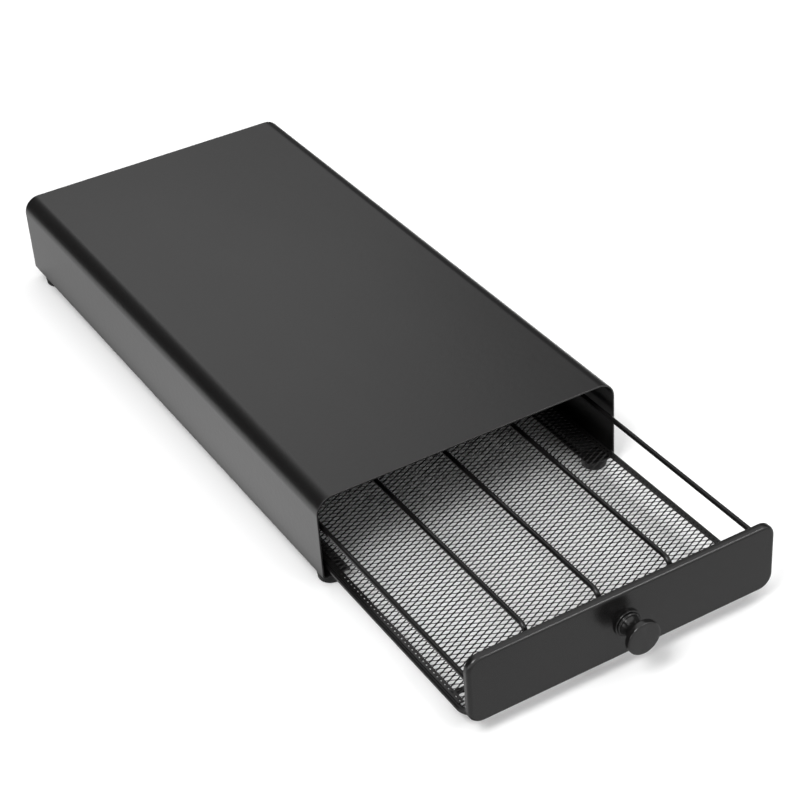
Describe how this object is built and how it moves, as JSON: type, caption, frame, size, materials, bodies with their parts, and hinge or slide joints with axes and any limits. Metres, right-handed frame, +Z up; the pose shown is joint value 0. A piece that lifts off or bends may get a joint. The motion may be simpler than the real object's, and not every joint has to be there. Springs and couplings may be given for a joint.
{
  "type": "coffee pod drawer",
  "caption": "Low steel cover on rubber feet with a sliding drawer: expanded mesh floor, wire lane dividers, and a rounded front panel with a round knob. Shown partly open.",
  "frame": {"origin": "middle of the base at the table, under the middle of the whole part as modelled with the drawer partly open", "axes": "+X to the right seen from the front, +Z up; the drawer opens towards -Y"},
  "size_m": [0.182, 0.5302, 0.056],
  "materials": {
    "cover_coat": "satin black powder coat on sheet steel",
    "panel_coat": "satin black powder coat on pressed sheet steel",
    "wire_coat": "satin black powder coat on steel wire",
    "mesh_coat": "satin black powder coat on expanded steel mesh",
    "knob_coat": "smooth black coat on turned metal",
    "screw_steel": "plated steel",
    "glide_nylon": "plain black nylon",
    "foot_rubber": "smooth black rubber"
  },
  "bodies": {
    "shell": {"shell_cover": "cover_coat", "back_panel": "cover_coat", "stop_left": "cover_coat", "stop_right": "cover_coat", "glide_left": "glide_nylon", "glide_right": "glide_nylon", "foot_front_left": "foot_rubber", "foot_front_right": "foot_rubber", "foot_rear_left": "foot_rubber", "foot_rear_right": "foot_rubber"},
    "drawer": {"front_panel": "panel_coat", "knob": "knob_coat", "knob_screw": "screw_steel", "knob_washer": "screw_steel", "tray_frame": "wire_coat", "rear_bar": "wire_coat", "cross_wire_front": "wire_coat", "cross_wire_1": "wire_coat", "cross_wire_2": "wire_coat", "mesh_floor": "mesh_coat", "rail_left": "wire_coat", "rail_right": "wire_coat", "divider_left": "wire_coat", "divider_centre": "wire_coat", "divider_right": "wire_coat", "rear_guard": "wire_coat"}
  },
  "joints": [
    {"name": "drawer_slide", "type": "slide", "parent": "shell", "child": "drawer", "axis": [0, -1, 0], "range_m": [-0.136, 0.1708]}
  ]
}
